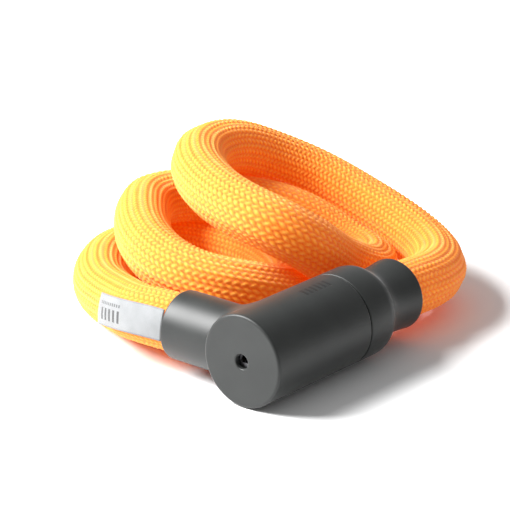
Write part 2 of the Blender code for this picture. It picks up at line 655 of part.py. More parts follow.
def plug_core(parent):
    """Steel body inside the plug's cover, with its two pins and the rope's ferrule."""
    start = COVER_ROOM[0] + GAP
    taper, end = CORE_TAPER
    outline = [
        (start, SLEEVE_BORE), (start, CORE_RADIUS), (taper, CORE_RADIUS), (end, CORE_TIP_RADIUS),
        (end, SLEEVE_BORE),
    ]
    core = make_object("plug_core", turned(outline, PLAIN_SIDES), DARK_STEEL, parent)
    hole = bolt_pin_shape(PIN_HOLE, 2 * PAST, 16)
    combine(core, make_cutter("core_pin_hole", hole, parent), "DIFFERENCE")
    combine(core, make_cutter("index_seat", index_pin_shape(PIN_HOLE, GAP), parent), "DIFFERENCE")
    make_object("plug_bolt_pin", bolt_pin_shape(PIN_RADIUS, 0.0), DARK_STEEL, parent)
    make_object("index_pin", index_pin_shape(PIN_RADIUS, 0.0), DARK_STEEL, parent)
    make_object("plug_ferrule", ferrule_shape(*PLUG_FERRULE), STEEL, parent)


def rope_line(count):
    """Centre line of the rope, straight out of the boot and straight into the side sleeve."""
    return smooth_curve(ROPE_ROUTE, count, (1, 0, 0), (0, -1, 0)) * MM


def rope_piece(name, points):
    """Plain tube of the rope's outer size along the given points."""
    curve = bpy.data.curves.new(name, "CURVE")
    curve.dimensions = "3D"
    curve.bevel_depth = ROPE_RADIUS
    curve.bevel_resolution = 3
    curve.use_fill_caps = True
    spline = curve.splines.new("POLY")
    spline.points.add(len(points) - 1)
    for point, place in zip(spline.points, points):
        point.co = (*place, 1.0)
    curve.materials.append(make_material(name, *ROPE_ORANGE))
    item = bpy.data.objects.new(name, curve)
    bpy.context.scene.collection.objects.link(item)


def rope():
    """The rope in loose turns, with the part that follows the plug as a piece of its own."""
    points = rope_line(ROPE_POINTS)
    along = points[ROPE_SPLIT + 1] - points[ROPE_SPLIT - 1]
    along /= np.linalg.norm(along)
    split = points[ROPE_SPLIT]
    face = along * GAP / 2
    lead = along * PAST
    rope_piece("rope_plug_end", [*points[:ROPE_SPLIT], split - lead, split - face])
    rope_piece("rope_main", [split + face, split + lead, *points[ROPE_SPLIT + 1:]])


def label_rows():
    """Rows of (inner, outer) points across the label, from the sleeve to its free end."""
    line = rope_line(400)[::-1]
    steps = np.concatenate([[0.0], np.cumsum(np.linalg.norm(np.diff(line, axis=0), axis=1))])
    rows = []
    for distance in np.linspace(GAP, LABEL_LENGTH, 9):
        here = Vector([np.interp(distance, steps, line[:, axis]) for axis in range(3)])
        ahead = Vector([np.interp(distance + MM, steps, line[:, axis]) for axis in range(3)])
        along = (ahead - here).normalized()
        facing = (LABEL_FACING - along * LABEL_FACING.dot(along)).normalized()
        across = along.cross(facing)
        lift = ROPE_RADIUS + GAP + LABEL_LIFT * (distance / LABEL_LENGTH)**3
        row = []
        for offset in np.linspace(-LABEL_WIDTH / 2, LABEL_WIDTH / 2, 7):
            sag = LABEL_WRAP * (ROPE_RADIUS - math.sqrt(ROPE_RADIUS**2 - offset**2))
            inner = here + facing * (lift - sag) + across * offset
            row.append((inner, inner + facing * LABEL_THICKNESS))
        rows.append(row)
    return rows


def rope_label():
    """Flat fabric tag that lies against the rope, with one end under the side sleeve."""
    builder = bmesh.new()
    rows = [[[builder.verts.new(place) for place in pair] for pair in row] for row in label_rows()]
    for side in (0, 1):
        for i in range(len(rows) - 1):
            for j in range(len(rows[0]) - 1):
                corners = (rows[i][j], rows[i][j + 1], rows[i + 1][j + 1], rows[i + 1][j])
                builder.faces.new([corner[side] for corner in corners])
    border = [row[0] for row in rows] + rows[-1][1:] + [row[-1] for row in rows[-2::-1]] + rows[0][-2:0:-1]
    for i in range(len(border)):
        builder.faces.new((border[i - 1][0], border[i][0], border[i][1], border[i - 1][1]))
    make_object("rope_label", builder, LABEL_GREY, None)


def build():
    """Model the whole lock."""
    clear_scene()
    head_axis = make_empty("head_axis", AXIS_ORIGIN)
    rotor_axis = make_empty("rotor_axis", AXIS_ORIGIN)
    plug_axis = make_empty("plug_axis", AXIS_ORIGIN)
    head_cover(head_axis)
    lock_case(head_axis)
    cylinder_shell(head_axis)
    socket_sleeve(head_axis)
    rear_ring(head_axis)
    seam_seal(head_axis)
    side_anchor(head_axis)
    fixed_screws(head_axis)
    locking_balls(head_axis)
    key_rotor(rotor_axis)
    drill_guard(rotor_axis)
    code_discs(rotor_axis)
    disc_spacers(rotor_axis)
    locking_cam(rotor_axis)
    sidebar(rotor_axis)
    plug_cover(plug_axis)
    plug_bolt(plug_axis)
    plug_core(plug_axis)
    rope()
    rope_label()


build()
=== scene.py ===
"""Looks of the rope lock: a braided rope, a moulded head and plug, a woven label, stage and camera.

Lengths are in metres in the CAD's frame.  The lock axis runs along X through AXIS.
"""
import json
import math
from functools import cache

import bpy
import numpy as np
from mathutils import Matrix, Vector


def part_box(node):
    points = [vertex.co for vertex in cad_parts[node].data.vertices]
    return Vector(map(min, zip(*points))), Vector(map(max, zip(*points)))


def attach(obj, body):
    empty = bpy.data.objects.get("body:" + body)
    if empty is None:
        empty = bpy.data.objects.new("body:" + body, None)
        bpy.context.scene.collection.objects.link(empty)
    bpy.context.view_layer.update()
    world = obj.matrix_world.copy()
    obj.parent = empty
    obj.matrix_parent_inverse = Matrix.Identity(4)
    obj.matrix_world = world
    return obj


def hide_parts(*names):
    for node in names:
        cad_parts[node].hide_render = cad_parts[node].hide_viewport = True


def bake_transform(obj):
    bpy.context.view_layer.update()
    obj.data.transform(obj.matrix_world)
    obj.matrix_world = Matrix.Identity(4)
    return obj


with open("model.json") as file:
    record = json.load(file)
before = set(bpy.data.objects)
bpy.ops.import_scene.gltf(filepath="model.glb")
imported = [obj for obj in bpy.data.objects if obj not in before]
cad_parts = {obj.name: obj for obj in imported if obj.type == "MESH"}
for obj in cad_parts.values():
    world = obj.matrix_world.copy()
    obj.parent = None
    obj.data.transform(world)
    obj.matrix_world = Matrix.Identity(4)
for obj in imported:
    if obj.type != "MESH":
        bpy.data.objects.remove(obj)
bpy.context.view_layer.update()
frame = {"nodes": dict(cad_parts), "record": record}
nodes = frame["nodes"]

MM = 0.001
TAU = 2 * math.pi

# Camera.
AIM = Vector((-0.0397, -0.0082, 0.0667))
AZIMUTH = -50.0
ELEVATION = 20.0
DISTANCE = 1.2
LENS = 190.6
SENSOR_WIDTH = 36.0

# Light and floor.  The key light's direction is given to the camera's left, away from it and up.
WORLD_STRENGTH = 0.42
KEY_DIRECTION = (0.92, 0.02, 0.8)
KEY_AIM = Vector((0.02, 0.04, 0.03))
KEY_DISTANCE = 1.2
KEY_SIZE = 0.7
KEY_POWER = 58.0
FLOOR_REACH = 3
FLOOR_HEIGHT = -0.0003

# The lock axis and the head: x from the keyhole face, y and z from the axis.
HEAD_LOW, HEAD_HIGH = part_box("head_cover")
PLUG_LOW, PLUG_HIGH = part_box("plug_cover")
HEAD_RADIUS = (HEAD_HIGH.z - HEAD_LOW.z) / 2
AXIS = Vector((HEAD_LOW.x, HEAD_LOW.y + HEAD_RADIUS, HEAD_LOW.z + HEAD_RADIUS))
HEAD_LENGTH = HEAD_HIGH.x - HEAD_LOW.x
SIDE_REACH = HEAD_HIGH.y - AXIS.y
SIDE_X = 17.6 * MM
SIDE_RADIUS = 16.5 * MM
SLEEVE_BORE = 13.4 * MM
CASE_ROOM = 19.5 * MM
COVER_WALL = 2.4 * MM
KEYHOLE_RADIUS = 3.5 * MM
SLEEVE_ROOT = 4 * MM

# Rounding of the head's edges, and its fillet, which grows from the keyhole face on.
FACE_RIM = 1.5 * MM
SEAM_RIM = 0.7 * MM
SLEEVE_RIM = 1.2 * MM
ROOM_RIM = 0.2 * MM
KEYHOLE_RIM = 0.1 * MM
MOUTH_RIM = 0.8 * MM
FILLET_SMALL = 0.4 * MM
FILLET_LARGE = 5 * MM
FILLET_RUN = 14 * MM
HEAD_VOXEL = 0.5 * MM
FLATTEST_SLOPE = 0.05

# Outline of the plug's moulding, x from the keyhole face and radius, in millimetres.
# The seam's rim is given from the seam, and the boot's mouth from the boot's end.
SEAM_OUTLINE = [(0, 9), (0, 21.5), (0.1, 21.8), (0.3, 21.95), (0.6, 22)]
PLUG_SHOULDER = [
    (81.5, 22), (83.6, 21.6), (86, 20.3), (88.6, 18.4), (91.8, 17), (96, 16.4), (101, 16.4),
    (106.5, 16.8), (111, 17.25),
]
SHOULDER_POINTS = 60
BOOT_RIM_DEPTH = 0.6
BOOT_RIM_RISE = 0.7
BOOT_FACE_RADIUS = 16.55
BOOT_RIM_ANGLES = np.radians(np.linspace(70, 0, 6))
MOUTH_OUTLINE = [(0, 13.9), (-0.2, 13.6), (-0.6, 13.4)]
PLUG_ROOM = [(85, 13.4), (82, 19.3), (69, 19.3), (69, 9)]
PLUG_SIDES = 144
SHARP_ANGLE = math.radians(40)

# Centre line of the rope, from the plug's boot to the side sleeve, in millimetres.
ROPE_ROUTE = [
    (56.8, -14, 22), (81, -14, 21.2), (103.5, -5, 20), (118.5, 14, 22), (123.5, 38, 28.5),
    (122, 61.5, 36.5), (115, 83, 46), (99.5, 98.5, 56), (77, 105.5, 65.5), (54.5, 103.5, 68),
    (36.5, 91, 66.5), (24, 72, 64), (17, 49.5, 61.2), (20, 29, 55.8), (33.4, 19.2, 45.4),
    (53.8, 21, 31.2), (77, 19.4, 19.4), (93.2, 29.4, 17), (98.2, 49.2, 20.2), (88, 77.5, 33.5),
    (75.5, 98, 38), (61.5, 119, 40.8), (41.5, 126, 41.4), (20.5, 114.5, 40.5), (3, 97, 39),
    (-8.5, 75.5, 36), (-8.5, 51.5, 32), (6, 33.5, 27), (27.5, 33, 19.5), (46, 47.5, 14.7),
    (58, 69, 14.2), (61, 93, 14.2), (58.5, 117.5, 14.2), (43.5, 135, 14.2), (21.5, 136, 14.2),
    (0.5, 124, 14.2), (-16, 105.5, 14.6), (-27, 83.5, 16.5), (-37.4, 60.5, 20.6), (-38.4, 36.6, 22),
]
ROPE_DIAMETER = 28 * MM
ROPE_LENGTH = 0.943

# Spline samples for each point that is read from the curve.
SPLINE_SAMPLES = 20

# Share of the rope in the piece at the plug.
PLUG_END_SHARE = 15 / 79

# The rope's ends are tucked into the boot and the sleeve, and swell to full size outside them.
TUCK = 3 * MM
TUCK_RADIUS = 13.2 * MM
SWELL_LENGTH = 2.5 * MM

# Braid of the rope's sleeve.  A float is the stretch where a strand lies on top.  The ribs start to
# show at the first bend radius and are full at the second.
STRANDS = 32
STRAND_PITCH = 2.9 * MM
STRAND_RISE = 0.9 * MM
FLOAT_SHAPE = 0.8
RIBS = 8
RIB_RISE = 0.6 * MM
RIB_BEND_RADII = (75 * MM, 45 * MM)
RIB_FADE_RINGS = 31
RING_STEP = 0.72 * MM
RING_SIDES = 160
FILAMENT_RADIANS = 17.0

# Plain strokes pressed into the top of the head, from the keyhole face.
MARK_START = 39 * MM
MARK_END = 58 * MM
MARK_WIDTH = 5.4 * MM
MARK_PITCH = 3.2 * MM

# A stroke is drawn where its sine wave is above this.
STROKE_THRESHOLD = 0.1

# Fabric label beside the side sleeve.  It takes a share of the rope's roundness, its free end lifts
# off, and it ripples by some radians along it and across it.
LABEL_LENGTH = 38 * MM
LABEL_WIDTH = 15 * MM
LABEL_THICKNESS = 0.45 * MM
LABEL_FACING = Vector((-0.97, 0.0, 0.24))
LABEL_START = 0.3 * MM
LABEL_GAP = 0.35 * MM
LABEL_WRAP = 0.35
LABEL_LIFT = 2.2 * MM
LABEL_RIPPLE = 0.15 * MM
RIPPLE_RADIANS = (9, 4)
LABEL_GRID = (45, 25)
SELVEDGE_WIDTH = 0.7 * MM
WARP_PITCH = 0.45 * MM
WEFT_PITCH = 0.38 * MM

# Plain strokes printed on the label: along it from the sleeve, and across it.
PRINT_RUN = (LABEL_LENGTH - 15 * MM, LABEL_LENGTH - 2 * MM)
LARGE_PRINT_SIDE = (-4.5 * MM, 1.2 * MM)
LARGE_PRINT_PITCH = 2.6 * MM
SMALL_PRINT_SIDE = (2.8 * MM, 4.2 * MM)
SMALL_PRINT_PITCH = 1.3 * MM

# Turning marks and stains on machined metal.
TURNING_PITCH = 0.35 * MM
STAIN_SHADE = 0.7

# Colours by (place, colour) stops, from the darkest to the lightest.
# The rope's stops follow the strand height: the darker, redder ones are painted shade between the strands.
ROPE_SHADES = [
    (0.0, (0.5, 0.095, 0.003)), (0.35, (0.65, 0.23, 0.011)), (0.75, (0.72, 0.33, 0.026)),
    (1.0, (0.75, 0.43, 0.055)),
]
LABEL_SHADES = [(0.0, (0.02, 0.021, 0.022)), (0.1, (0.10, 0.105, 0.11)), (1.0, (0.27, 0.28, 0.285))]
# The moulding's darkest stop is taken in the pressed strokes, as painted shade in their hollows.
MOULDING_SHADES = [(0.0, (0.004, 0.004, 0.004)), (0.3, (0.012, 0.0135, 0.013)), (0.75, (0.021, 0.023, 0.022))]
RUBBER_SHADES = [(0.3, (0.01, 0.01, 0.01)), (0.8, (0.025, 0.025, 0.026))]


def slot_of(node):
    """Material slot that the record gives a node."""
    for part in frame["record"]["subparts"]:
        if part["node"] == node:
            return part["material_slot"]
    raise KeyError(node)


def look_back():
    """Unit vector from the aim to the camera."""
    azimuth, elevation = math.radians(AZIMUTH), math.radians(ELEVATION)
    level = math.cos(elevation)
    return Vector((math.sin(azimuth) * level, -math.cos(azimuth) * level, math.sin(elevation)))


def make_camera():
    """Long lens at the photograph's angle."""
    data = bpy.data.cameras.new("camera")
    data.lens = LENS
    data.sensor_width = SENSOR_WIDTH
    camera = bpy.data.objects.new("camera", data)
    camera.location = AIM + look_back() * DISTANCE
    camera.rotation_mode = "QUATERNION"
    camera.rotation_quaternion = (-look_back()).to_track_quat("-Z", "Y")
    bpy.context.scene.collection.objects.link(camera)
    bpy.context.scene.camera = camera


def smooth_curve(points, count, first_slope=None, last_slope=None):
    """Read evenly spaced points from a cubic spline; its ends are free unless a slope is given."""
    knots = np.array(points, float)
    spans = np.linalg.norm(np.diff(knots, axis=0), axis=1)
    places = np.concatenate([[0.0], np.cumsum(spans)])
    size = len(knots)
    matrix = np.eye(size)
    bends = np.zeros_like(knots)
    for i in range(1, size - 1):
        matrix[i, i - 1:i + 2] = spans[i - 1], 2 * (spans[i - 1] + spans[i]), spans[i]
        slope_after = (knots[i + 1] - knots[i]) / spans[i]
        slope_before = (knots[i] - knots[i - 1]) / spans[i - 1]
        bends[i] = 6 * (slope_after - slope_before)
    if first_slope is not None:
        matrix[0, :2] = 2 * spans[0], spans[0]
        bends[0] = 6 * ((knots[1] - knots[0]) / spans[0] - np.array(first_slope))
    if last_slope is not None:
        matrix[-1, -2:] = spans[-1], 2 * spans[-1]
        bends[-1] = 6 * (np.array(last_slope) - (knots[-1] - knots[-2]) / spans[-1])
    bends = np.linalg.solve(matrix, bends)
    fine = np.linspace(0.0, places[-1], count * SPLINE_SAMPLES)
    left = np.clip(np.searchsorted(places, fine, side="right") - 1, 0, size - 2)
    span = spans[left][:, None]
    a = (places[left + 1] - fine)[:, None] / span
    b = 1.0 - a
    dense = a * knots[left] + b * knots[left + 1]
    dense += ((a**3 - a) * bends[left] + (b**3 - b) * bends[left + 1]) * span**2 / 6
    steps = lengths_along(dense)
    even = np.linspace(0.0, steps[-1], count)
    return np.stack([np.interp(even, steps, dense[:, axis]) for axis in range(knots.shape[1])], axis=1)


def lengths_along(line):
    """Distance from the first point to each point of a line."""
    return np.concatenate([[0.0], np.cumsum(np.linalg.norm(np.diff(line, axis=0), axis=1))])


def rope_line():
    """Ring centres of the rope, which is tucked a little into the boot and the side sleeve."""
    count = round(ROPE_LENGTH / RING_STEP)
    line = smooth_curve(ROPE_ROUTE, count, (1, 0, 0), (0, -1, 0)) * MM
    tuck = np.arange(round(TUCK / RING_STEP), 0, -1)[:, None] * RING_STEP
    before = line[0] - tuck * np.array([1.0, 0.0, 0.0])
    after = line[-1] - tuck[::-1] * np.array([0.0, 1.0, 0.0])
    return np.concatenate([before, line, after])


def ring_frames(line):
    """Two directions across the line at each point, carried along it without twist."""
    along = np.gradient(line, axis=0)
    along /= np.linalg.norm(along, axis=1)[:, None]
    side = np.cross(along[0], (0.0, 0.0, 1.0))
    sides = np.zeros_like(line)
    for i, direction in enumerate(along):
        side = side - direction * np.dot(side, direction)
        side /= np.linalg.norm(side)
        sides[i] = side
    return sides, np.cross(along, sides)


def braid(along, around):
    """Strand height from 0 to 1, and the place across the strand from -1 to 1: two over, two under."""
    turn = around * STRANDS / TAU
    step = along / STRAND_PITCH
    right = turn + step
    left = turn - step
    column = (np.floor(right) + np.floor(left)) % 4
    over = column < 2
    across = np.where(over, right % 1, left % 1) * 2 - 1
    run = np.where(over, left % 1 + column, right % 1 + column - 2) - 1
    float_height = np.clip(np.cos(run * math.pi / 2), 0, 1) ** FLOAT_SHAPE
    height = np.sqrt(np.clip(1 - across**2, 0, 1)) * float_height
    return height, across


def bend_share(line):
    """How far the ribs stand out at each point: 0 where the line runs straight, 1 in a tight bend."""
    along = np.gradient(line, axis=0)
    steps = np.linalg.norm(along, axis=1)[:, None]
    bend = np.linalg.norm(np.gradient(along / steps, axis=0) / steps, axis=1)
    slack, tight = (1 / radius for radius in RIB_BEND_RADII)
    share = np.clip((bend - slack) / (tight - slack), 0, 1)
    kernel = np.hanning(RIB_FADE_RINGS)
    return np.convolve(share, kernel / kernel.sum(), mode="same")


def new_object(name, verts, faces, smooth=True):
    """Return a mesh object in the scene."""
    mesh = bpy.data.meshes.new(name)
    mesh.from_pydata([tuple(v) for v in verts], [], [tuple(f) for f in faces])
    mesh.validate()
    if smooth:
        mesh.shade_smooth()
    item = bpy.data.objects.new(name, mesh)
    bpy.context.scene.collection.objects.link(item)
    return item


def grid_faces(rows, columns, closed_around):
    """Quads between the rows of a grid of points."""
    row, column = np.meshgrid(np.arange(rows - 1), np.arange(columns if closed_around else columns - 1))
    row, column = row.ravel(), column.ravel()
    after = (column + 1) % columns
    corners = (row * columns + column, (row + 1) * columns + column, (row + 1) * columns + after,
               row * columns + after)
    return np.stack(corners, axis=1)


def store(item, name, values):
    """Keep one number for each point of a mesh, for its material."""
    attribute = item.data.attributes.new(name, "FLOAT", "POINT")
    attribute.data.foreach_set("value", np.asarray(values, np.float32).ravel())


def braided_tube(name, line, sides, ups, along, radius, ribs):
    """Mesh tube with every strand of the braid raised, closed at both ends."""
    around = np.arange(RING_SIDES) * TAU / RING_SIDES
    height, across = braid(along[:, None], around[None, :])
    groove = (0.5 - 0.5 * np.cos(around * RIBS))[None, :] * ribs[:, None]
    reach = radius[:, None] + (height - 1) * STRAND_RISE - groove * RIB_RISE
    out = sides[:, None] * np.cos(around)[None, :, None] + ups[:, None] * np.sin(around)[None, :, None]
    points = line[:, None] + out * reach[..., None]
    verts = np.concatenate([points.reshape(-1, 3), line[:1], line[-1:]])
    faces = list(grid_faces(len(line), RING_SIDES, True))
    first, last = len(verts) - 2, len(verts) - 1
    final_ring = (len(line) - 1) * RING_SIDES
    for i in range(RING_SIDES):
        after = (i + 1) % RING_SIDES
        faces.append((first, i, after))
        faces.append((last, final_ring + after, final_ring + i))
    tube = new_object(name, verts, faces)
    for key, values in (("strand_height", height), ("strand_across", across)):
        store(tube, key, np.concatenate([values.ravel(), [0.0, 0.0]]))
    return tube


def rope_pieces():
    """The rope's two pieces, which meet in one shared ring."""
    line = rope_line()
    sides, ups = ring_frames(line)
    along = lengths_along(line)
    from_end = np.minimum(along, along[-1] - along)
    full = np.clip((from_end - TUCK) / SWELL_LENGTH, 0, 1)
    radius = TUCK_RADIUS + (ROPE_DIAMETER / 2 - TUCK_RADIUS) * full
    ribs = bend_share(line)
    split = round(len(line) * PLUG_END_SHARE)
    pieces = {}
    for name, part in (("rope_plug_end", slice(0, split + 1)), ("rope_main", slice(split, None))):
        tube = braided_tube(f"{name}_braid", line[part], sides[part], ups[part], along[part], radius[part],
                            ribs[part])
        tube.data.materials.append(rope_fabric())
        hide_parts(name)
        pieces[name] = (tube, line[part])
    return pieces


def label_piece(line):
    """Woven tag that lies along the rope, with one end at the side sleeve's mouth."""
    back = line[::-1]
    steps = lengths_along(back)
    start = TUCK + LABEL_START
    radius = ROPE_DIAMETER / 2
    ripple_along, ripple_across = RIPPLE_RADIANS
    verts = []
    distances = np.linspace(start, start + LABEL_LENGTH, LABEL_GRID[0])
    offsets = np.linspace(-LABEL_WIDTH / 2, LABEL_WIDTH / 2, LABEL_GRID[1])
    for number, distance in enumerate(distances):
        here = Vector([np.interp(distance, steps, back[:, axis]) for axis in range(3)])
        ahead = Vector([np.interp(distance + MM, steps, back[:, axis]) for axis in range(3)])
        direction = (ahead - here).normalized()
        facing = (LABEL_FACING - direction * LABEL_FACING.dot(direction)).normalized()
        across = direction.cross(facing)
        share = number / (len(distances) - 1)
        for offset in offsets:
            wrap = LABEL_WRAP * (radius - math.sqrt(radius**2 - offset**2))
            wave = math.sin(share * ripple_along + offset / LABEL_WIDTH * ripple_across)
            lift = LABEL_LIFT * share**3 + LABEL_RIPPLE * wave
            verts.append(here + facing * (radius + LABEL_GAP - wrap + lift) + across * offset)
    label = new_object("rope_label_weave", verts, grid_faces(len(distances), len(offsets), False))
    run, side = np.meshgrid(distances - start, offsets, indexing="ij")
    store(label, "label_run", run)
    store(label, "label_side", side)
    wall = label.modifiers.new("thickness", "SOLIDIFY")
    wall.thickness = LABEL_THICKNESS
    wall.offset = 0
    label.data.materials.append(label_fabric())
    return label


def smooth_min(a, b, size):
    """Smaller of two distances, with a fillet where they meet."""
    blend = np.clip(size - np.abs(a - b), 0, None) / size
    return np.minimum(a, b) - blend**2 * size / 4


def smooth_max(a, b, size):
    """Larger of two distances, with a rounded edge where they meet."""
    return -smooth_min(-a, -b, size)


def cylinder_field(place, across, low, high, radius, edge):
    """Distance to a cylinder with rounded rims, from the place along its axis and across it."""
    ends = np.abs(place - (low + high) / 2) - (high - low) / 2
    return smooth_max(across - radius, ends, edge)


def head_field(points):
    """Distance to the head's moulding: barrel, side sleeve and fillet, less its rooms."""
    x, y, z = (points - np.array(AXIS)).T
    around_axis = np.hypot(y, z)
    around_side = np.hypot(x - SIDE_X, z)
    rim = np.where(x < HEAD_LENGTH / 2, FACE_RIM, SEAM_RIM)
    barrel = cylinder_field(x, around_axis, 0.0, HEAD_LENGTH, HEAD_RADIUS, rim)
    sleeve = cylinder_field(y, around_side, SLEEVE_ROOT, SIDE_REACH, SIDE_RADIUS, SLEEVE_RIM)
    rise = np.clip(x / FILLET_RUN, 0, 1)
    fillet = FILLET_SMALL + (FILLET_LARGE - FILLET_SMALL) * rise**2 * (3 - 2 * rise)
    outer = np.maximum(smooth_min(barrel, sleeve, fillet), -x)
    room = cylinder_field(x, around_axis, COVER_WALL, 2 * HEAD_LENGTH, CASE_ROOM, ROOM_RIM)
    side_room = cylinder_field(y, around_side, 0.0, 2 * SIDE_REACH, SLEEVE_BORE, ROOM_RIM)
    keyhole = cylinder_field(x, around_axis, -2 * COVER_WALL, 2 * COVER_WALL, KEYHOLE_RADIUS, KEYHOLE_RIM)
    hollow = np.minimum(np.minimum(room, side_room), keyhole)
    return smooth_max(outer, -hollow, MOUTH_RIM)


def gradient_of(field, points, step=0.02 * MM):
    """Direction in which a field grows, by differences."""
    slopes = []
    for axis in range(3):
        shift = np.zeros(3)
        shift[axis] = step
        slopes.append((field(points + shift) - field(points - shift)) / (2 * step))
    return np.stack(slopes, axis=1)


def drawn_onto(field, item, rounds=6):
    """Move a mesh's points onto the field's surface and take its normals from there."""
    mesh = item.data
    points = np.zeros(len(mesh.vertices) * 3)
    mesh.vertices.foreach_get("co", points)
    points = points.reshape(-1, 3)
    for _ in range(rounds):
        slope = gradient_of(field, points)
        size = np.maximum((slope**2).sum(axis=1), FLATTEST_SLOPE)
        points -= slope * (field(points) / size)[:, None]
    mesh.vertices.foreach_set("co", points.ravel())
    normals = gradient_of(field, points)
    normals /= np.maximum(np.linalg.norm(normals, axis=1), 1e-9)[:, None]
    mesh.update()
    mesh.shade_smooth()
    mesh.normals_split_custom_set_from_vertices([tuple(n) for n in normals])


def remeshed_copy(name, node, voxel):
    """Fine even mesh in the shape of a CAD node."""
    item = bpy.data.objects.new(name, nodes[node].data.copy())
    bpy.context.scene.collection.objects.link(item)
    remesh = item.modifiers.new("even", "REMESH")
    remesh.mode = "VOXEL"
    remesh.voxel_size = voxel
    graph = bpy.context.evaluated_depsgraph_get()
    fine = bpy.data.meshes.new_from_object(item.evaluated_get(graph))
    item.modifiers.clear()
    item.data = fine
    item.data.materials.clear()
    return item


def head_moulding():
    """Head cover with rounded rims and a fillet at the side sleeve."""
    head = remeshed_copy("head_moulding", "head_cover", HEAD_VOXEL)
    drawn_onto(head_field, head)
    head.data.materials.append(soft_touch())
    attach(head, "lock_head")
    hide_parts("head_cover")


def plug_profile():
    """Outline (x, radius) of the plug's moulding, from the seam round to the inside."""
    seam = (PLUG_LOW.x - AXIS.x) / MM
    end = (PLUG_HIGH.x - AXIS.x) / MM
    outline = [(seam + x, radius) for x, radius in SEAM_OUTLINE]
    outline += [tuple(point) for point in smooth_curve(PLUG_SHOULDER, SHOULDER_POINTS)]
    for angle in BOOT_RIM_ANGLES:
        x = end - BOOT_RIM_DEPTH * (1 - math.cos(angle))
        outline.append((x, BOOT_FACE_RADIUS + BOOT_RIM_RISE * math.sin(angle)))
    outline += [(end + x, radius) for x, radius in MOUTH_OUTLINE]
    return outline + PLUG_ROOM


def plug_moulding():
    """Collar, waist and rope boot of the plug, turned about the lock axis."""
    places, radii = (np.array(plug_profile()) * MM).T
    angles = np.arange(PLUG_SIDES) * TAU / PLUG_SIDES
    x = np.repeat(places, PLUG_SIDES)
    y = np.outer(radii, np.cos(angles)).ravel()
    z = np.outer(radii, np.sin(angles)).ravel()
    verts = np.stack([x, y, z], axis=1) + np.array(AXIS)
    faces = list(grid_faces(len(places), PLUG_SIDES, True))
    last = (len(places) - 1) * PLUG_SIDES
    for i in range(PLUG_SIDES):
        after = (i + 1) % PLUG_SIDES
        faces.append((last + i, i, after, last + after))
    plug = new_object("plug_moulding", verts, faces)
    plug.data.set_sharp_from_angle(angle=SHARP_ANGLE)
    plug.data.materials.append(soft_touch())
    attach(plug, "plug")
    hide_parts("plug_cover")


class Shader:
    """A Principled material with short calls for its nodes."""

    def __init__(self, name, color, roughness, metallic=0.0):
        self.material = bpy.data.materials.new(name)
        self.material.use_nodes = True
        self.tree = self.material.node_tree
        self.main = self.tree.nodes["Principled BSDF"]
        self.set("Base Color", (*color, 1.0))
        self.set("Roughness", roughness)
        self.set("Metallic", metallic)

    def set(self, socket, value):
        """Give one of the shader's own sockets a value."""
        self.main.inputs[socket].default_value = value

    def node(self, kind, **values):
        """Add a node and fill its inputs by name or number."""
        node = self.tree.nodes.new(kind)
        for key, value in values.items():
            node.inputs[key.replace("_", " ")].default_value = value
        return node

    def join(self, source, target):
        """Connect an output to an input."""
        self.tree.links.new(source, target)

    def attribute(self, name):
        """Output of a number stored on the mesh."""
        node = self.node("ShaderNodeAttribute")
        node.attribute_name = name
        return node.outputs["Fac"]

    def place(self):
        """Output of the point's place in its object's own coordinates."""
        return self.node("ShaderNodeTexCoord").outputs["Object"]

    def noise(self, scale, detail=3.0, roughness=0.5):
        """Output of a noise that is fixed to the object."""
        node = self.node("ShaderNodeTexNoise", Scale=scale, Detail=detail, Roughness=roughness)
        self.join(self.place(), node.inputs["Vector"])
        return node.outputs["Fac"]

    def ramp(self, source, stops):
        """Colour of a number, by (place, colour) stops."""
        node = self.node("ShaderNodeValToRGB")
        elements = node.color_ramp.elements
        while len(elements) < len(stops):
            elements.new(1.0)
        for element, (place, color) in zip(elements, stops):
            element.position = place
            element.color = (*color, 1.0)
        self.join(source, node.inputs["Fac"])
        return node.outputs["Color"]

    def math(self, operation, *values):
        """Output of a Math node; each value is a number or an output."""
        node = self.node("ShaderNodeMath")
        node.operation = operation
        for slot, value in zip(node.inputs, values):
            if isinstance(value, (int, float)):
                slot.default_value = value
            else:
                self.join(value, slot)
        return node.outputs["Value"]

    def spread(self, source, low, high):
        """A number from 0 to 1 stretched between two values."""
        node = self.node("ShaderNodeMapRange")
        node.inputs["To Min"].default_value = low
        node.inputs["To Max"].default_value = high
        self.join(source, node.inputs["Value"])
        return node.outputs["Result"]

    def bump(self, height, depth, strength=1.0):
        """Raise the surface by a height times a depth in metres, on top of any bump before it."""
        node = self.node("ShaderNodeBump", Strength=strength, Distance=depth)
        self.join(height, node.inputs["Height"])
        if self.main.inputs["Normal"].is_linked:
            self.join(self.main.inputs["Normal"].links[0].from_socket, node.inputs["Normal"])
        self.join(node.outputs["Normal"], self.main.inputs["Normal"])


